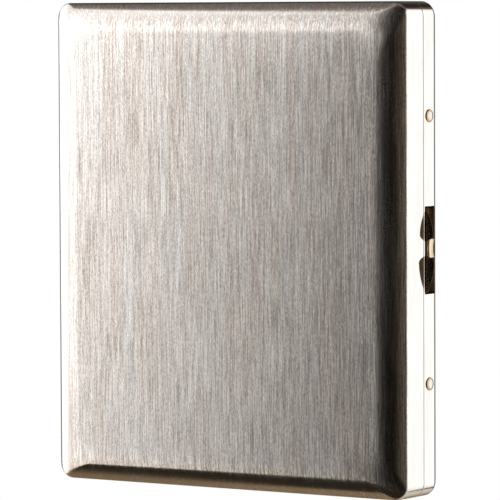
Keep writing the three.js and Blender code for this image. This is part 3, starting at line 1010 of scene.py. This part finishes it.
def keeper():
    """A plate on the front cover's wall with the ledge that the claws hook."""
    plate_z = (MID_Z - 8.5 * MM, MID_Z + 8.5 * MM)
    ledge_z = (MID_Z - 8 * MM, MID_Z + 8 * MM)
    plate = bevelled(block((40.3 * MM, 40.6 * MM), (-2.6 * MM, -0.3 * MM), plate_z), 0.05 * MM)
    ledge = bevelled(block((39.95 * MM, 40.4 * MM), (-1.0 * MM, -0.5 * MM), ledge_z), 0.08 * MM)
    obj = finish_mesh("latch_keeper_ledge", joined([plate, ledge]), [NICKEL])
    attach(obj, "front_half", "hinge", "latch_keeper")


# ---------------------------------------------------------------- card arms

def mirrored(mesh, side):
    """The mesh as drawn for the front half, or mirrored in Y for the rear half."""
    if side > 0:
        mesh.transform(Matrix.Scale(-1, 4, Vector((0, 1, 0))))
        mesh.flip_normals()
    return mesh


def spring_slot(z0):
    """The opening in the arm's root where the torsion spring sits."""
    return block((-37 * MM, -33.4 * MM), (-8 * MM, 0), (z0 - 1.2 * MM, z0 + 1.2 * MM))


def arm_mesh(z0):
    """A bent strip with a barrel at its root, drawn for the front half."""
    line = [
        (ARM_X, ARM_Y - ARM_BARREL_R + ARM_T / 2),
        (-33 * MM, ARM_Y - ARM_BARREL_R + ARM_T / 2),
        (-30.5 * MM, ARM_FLOOR_Y + 0.1 * MM),
        (-28 * MM, ARM_FLOOR_Y),
        (ARM_TIP_X - 3.2 * MM, ARM_FLOOR_Y),
        (ARM_TIP_X - 1.4 * MM, ARM_FLOOR_Y + 0.7 * MM),
        (ARM_TIP_X - 0.4 * MM, -4.4 * MM),
    ]
    outline = strip(smoothed(line), ARM_T)
    arm = bevelled(prism(outline, "z", z0 - ARM_HALF, z0 + ARM_HALF), 0.1 * MM, 3, 50)
    barrel = disc(ARM_X, ARM_Y, ARM_BARREL_R, "z", z0 - ARM_HALF, z0 + ARM_HALF)
    tube = cut(barrel, [disc(ARM_X, ARM_Y, ARM_BORE_R, "z", z0 - 5 * MM, z0 + 5 * MM)])
    arm = cut(arm, [disc(ARM_X, ARM_Y, ARM_BARREL_R - 0.1 * MM, "z", z0 - 5 * MM, z0 + 5 * MM)])
    return joined([cut(arm, [spring_slot(z0)]), cut(tube, [spring_slot(z0)])])


def bracket_mesh(z0):
    """A base plate with two ears that hold the pin."""
    plate = block((-37 * MM, -32.5 * MM), (-6.5 * MM, -6.1 * MM), (z0 - 4 * MM, z0 + 4 * MM))
    outline = [(-36.2 * MM, -6.2 * MM), (-33.8 * MM, -6.2 * MM), (-33.95 * MM, -4.8 * MM)]
    for i in range(1, 12):
        a = math.pi * i / 12
        outline.append((ARM_X + EAR_R * math.cos(a), ARM_Y + EAR_R * math.sin(a)))
    outline.append((-36.05 * MM, -4.8 * MM))
    parts = [bevelled(plate, 0.08 * MM)]
    for s in (-1, 1):
        ends = sorted((z0 + s * (ARM_HALF + 0.3 * MM), z0 + s * (ARM_HALF + 0.8 * MM)))
        ear = bevelled(prism(outline, "z", ends[0], ends[1]), 0.08 * MM)
        parts.append(cut(ear, [disc(ARM_X, ARM_Y, ARM_BORE_R, "z", z0 - 6 * MM, z0 + 6 * MM)]))
    return joined(parts)


def arm_pin_mesh(z0):
    half = ARM_PIN_HALF
    e = 0.12 * MM
    profile = [
        (0, -half), (ARM_PIN_R - e, -half), (ARM_PIN_R, -half + e),
        (ARM_PIN_R, half - e), (ARM_PIN_R - e, half), (0, half),
    ]
    return lathe(profile, "z", Vector((ARM_X, ARM_Y, z0)), 28)


def torsion_spring_mesh(z0):
    """A leg on the bracket, the turns round the pin, and a bent leg on the arm."""
    leg = Vector((-33.8 * MM, ARM_Y - SPRING_R, z0 - 0.5 * MM))
    start = Vector((ARM_X, ARM_Y - SPRING_R, z0 - 0.5 * MM))
    path = [leg.lerp(start, i / 4) for i in range(4)]
    steps = int(24 * SPRING_TURNS)
    for i in range(steps + 1):
        a = -math.pi / 2 - 2 * math.pi * SPRING_TURNS * i / steps
        z = z0 + (i / steps - 0.5) * MM
        path.append(Vector((ARM_X + SPRING_R * math.cos(a), ARM_Y + SPRING_R * math.sin(a), z)))
    bend = Vector((-33.9 * MM, -4.05 * MM, z0 + 0.5 * MM))
    tip = Vector((-31.4 * MM, -5.1 * MM, z0 + 0.5 * MM))
    path += [path[-1].lerp(bend, i / 3) for i in range(1, 4)]
    path += [bend.lerp(tip, i / 5) for i in range(1, 6)]
    return sweep(path, SPRING_WIRE_R)


def retainer(label, side, z0):
    """Arm, bracket, pin and torsion spring of one half."""
    half, arm_body = f"{label}_half", f"{label}_retainer"
    name = f"{label}_card_arm"
    arm = finish_mesh(name, mirrored(arm_mesh(z0), side), [GILT])
    attach(arm, arm_body, "arm_brass", f"{label}_arm")
    bracket = finish_mesh(f"{name}_bracket", mirrored(bracket_mesh(z0), side), [NICKEL])
    attach(bracket, half, "hinge", f"{label}_arm_bracket")
    pin = finish_mesh(f"{name}_pin", mirrored(arm_pin_mesh(z0), side), [STEEL])
    attach(pin, half, "steel", f"{label}_arm_pin")
    spring = finish_mesh(f"{name}_spring", mirrored(torsion_spring_mesh(z0), side), [STEEL], 60)
    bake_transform(spring)
    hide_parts(f"{label}_arm_spring")


# ---------------------------------------------------------------- studio

def grade_wrap(tree, emission):
    """Feeds the surround's strength and colour, which depend on azimuth and height."""
    x, y, z = split_position(tree)
    ahead = math_node(tree, "MULTIPLY", y, -1.0)
    azimuth = math_node(tree, "MULTIPLY", math_node(tree, "ARCTAN2", x, ahead), 180 / math.pi)

    def light(by_azimuth, by_height):
        return math_node(tree, "MULTIPLY", graded(tree, azimuth, by_azimuth), graded(tree, z, by_height))

    key = light(KEY_BY_AZIMUTH, KEY_BY_HEIGHT)
    panel = light(PANEL_BY_AZIMUTH, PANEL_BY_HEIGHT)
    top = light(TOP_BY_AZIMUTH, TOP_BY_HEIGHT)
    sides = math_node(tree, "ADD", key, panel)
    total = math_node(tree, "ADD", sides, math_node(tree, "ADD", top, DARK_LEVEL))
    low = smooth_step(tree, z, -0.045, -0.075)
    table = math_node(tree, "MULTIPLY", low, smooth_step(tree, azimuth, -112, -118))
    level = mix_colour(tree, table, total, (TABLE_LEVEL,) * 3 + (1,))
    tree.links.new(level, emission.inputs["Strength"])
    colour = mix_colour(tree, smooth_step(tree, total, 0.04, 0.4), STUDIO_DARK, STUDIO_WHITE)
    colour = mix_colour(tree, smooth_step(tree, z, -0.05, -0.15), colour, TABLE_CREAM_TINT)
    tree.links.new(mix_colour(tree, table, colour, TABLE_COLOUR), emission.inputs["Color"])


def studio_wrap():
    """A lit cylinder round the case: a key on the left, a panel behind, near black in front."""
    rings = [[(u, v, z) for u, v in circle(WRAP_R, 96)] for z in (WRAP_LOW, WRAP_HIGH)]
    obj = bpy.data.objects.new("studio_wrap", loft(rings, caps=False))
    bpy.context.scene.collection.objects.link(obj)
    obj.visible_camera = False
    obj.visible_shadow = False
    material = bpy.data.materials.new("studio_wrap")
    material.use_nodes = True
    tree = material.node_tree
    tree.nodes.clear()
    output = tree.nodes.new("ShaderNodeOutputMaterial")
    emission = tree.nodes.new("ShaderNodeEmission")
    tree.links.new(emission.outputs[0], output.inputs[0])
    grade_wrap(tree, emission)
    obj.data.materials.append(material)


def camera_white(tree, shader_socket, output):
    """The camera sees plain white; reflections and light see the given shader."""
    is_world = output.bl_idname.endswith("World")
    plain = tree.nodes.new("ShaderNodeBackground" if is_world else "ShaderNodeEmission")
    plain.inputs["Color"].default_value = (1, 1, 1, 1)
    path = tree.nodes.new("ShaderNodeLightPath")
    mix = tree.nodes.new("ShaderNodeMixShader")
    tree.links.new(path.outputs["Is Camera Ray"], mix.inputs[0])
    tree.links.new(shader_socket, mix.inputs[1])
    tree.links.new(plain.outputs[0], mix.inputs[2])
    tree.links.new(mix.outputs[0], output.inputs[0])


def floor():
    """A pale floor just under the case, plain white to the camera and left out of reflections."""
    corners = [(u * FLOOR_HALF, v * FLOOR_HALF, 0) for u, v in ((-1, -1), (1, -1), (1, 1), (-1, 1))]
    mesh = mesh_of(corners, [[0, 1, 2, 3]])
    mesh.transform(Matrix.Translation((0, 0, -FLOOR_DROP)))
    material = bpy.data.materials.new("floor_pale")
    material.use_nodes = True
    tree = material.node_tree
    shader = tree.nodes["Principled BSDF"]
    shader.inputs["Base Color"].default_value = (0.9, 0.9, 0.9, 1)
    shader.inputs["Roughness"].default_value = 0.9
    camera_white(tree, shader.outputs[0], tree.nodes["Material Output"])
    obj = bpy.data.objects.new("floor", mesh)
    mesh.materials.append(material)
    obj.visible_glossy = False
    bpy.context.scene.collection.objects.link(obj)


def world():
    """For reflections: a grey ceiling and a table, dark in front, warm to cream behind."""
    made = bpy.data.worlds.new("studio")
    bpy.context.scene.world = made
    made.use_nodes = True
    tree = made.node_tree
    tree.nodes.clear()
    output = tree.nodes.new("ShaderNodeOutputWorld")
    x, y, up = split_position(tree, "Generated")
    table = mix_colour(tree, smooth_step(tree, x, -0.35, 0.05), TABLE_WARM, TABLE_CREAM)
    below = mix_colour(tree, smooth_step(tree, y, -0.4, -0.3), TABLE_DARK, table)
    above = mix_colour(tree, smooth_step(tree, y, -0.3, 0.1), CEILING_FRONT, CEILING_BACK)
    colour = mix_colour(tree, smooth_step(tree, up, -0.05, 0.05), below, above)
    studio = tree.nodes.new("ShaderNodeBackground")
    tree.links.new(colour, studio.inputs["Color"])
    camera_white(tree, studio.outputs[0], output)


def camera():
    """The photograph's view: the case turned by YAW, tipped by PITCH, rolled by ROLL, moved by OFFSET."""
    c, s = math.cos(YAW), math.sin(YAW)
    turn = Matrix(((c, s, 0), (0, 0, -1), (-s, c, 0)))
    c, s = math.cos(PITCH), math.sin(PITCH)
    tip = Matrix(((1, 0, 0), (0, c, -s), (0, s, c)))
    c, s = math.cos(ROLL), math.sin(ROLL)
    roll = Matrix(((c, -s, 0), (s, c, 0), (0, 0, 1)))
    into = roll @ tip @ turn
    centre = Vector((0, 0, MID_Z))
    place = centre - into.transposed() @ OFFSET
    right, down, ahead = (Vector(row) for row in into)
    made = bpy.data.cameras.new("camera")
    made.sensor_width = SENSOR
    made.lens = FOCAL_IN_WIDTHS * SENSOR
    made.clip_start = 0.01
    made.clip_end = 20
    obj = bpy.data.objects.new("camera", made)
    obj.matrix_world = Matrix.Translation(place) @ Matrix((right, -down, -ahead)).transposed().to_4x4()
    bpy.context.scene.collection.objects.link(obj)
    bpy.context.scene.camera = obj


front_cover()
rear_cover()
lining_strips()
hinge_leaf("front", -1, 1)
hinge_leaf("rear", 1, 0)
hinge_pin()
thumb_piece()
leaf_spring()
rivet("upper", RIVET_Z)
rivet("lower", -RIVET_Z)
keeper()
retainer("front", -1, MID_Z + ARM_OFFSET_Z)
retainer("rear", 1, MID_Z - ARM_OFFSET_Z)
studio_wrap()
floor()
world()
camera()
bpy.context.scene.view_settings.view_transform = "Standard"
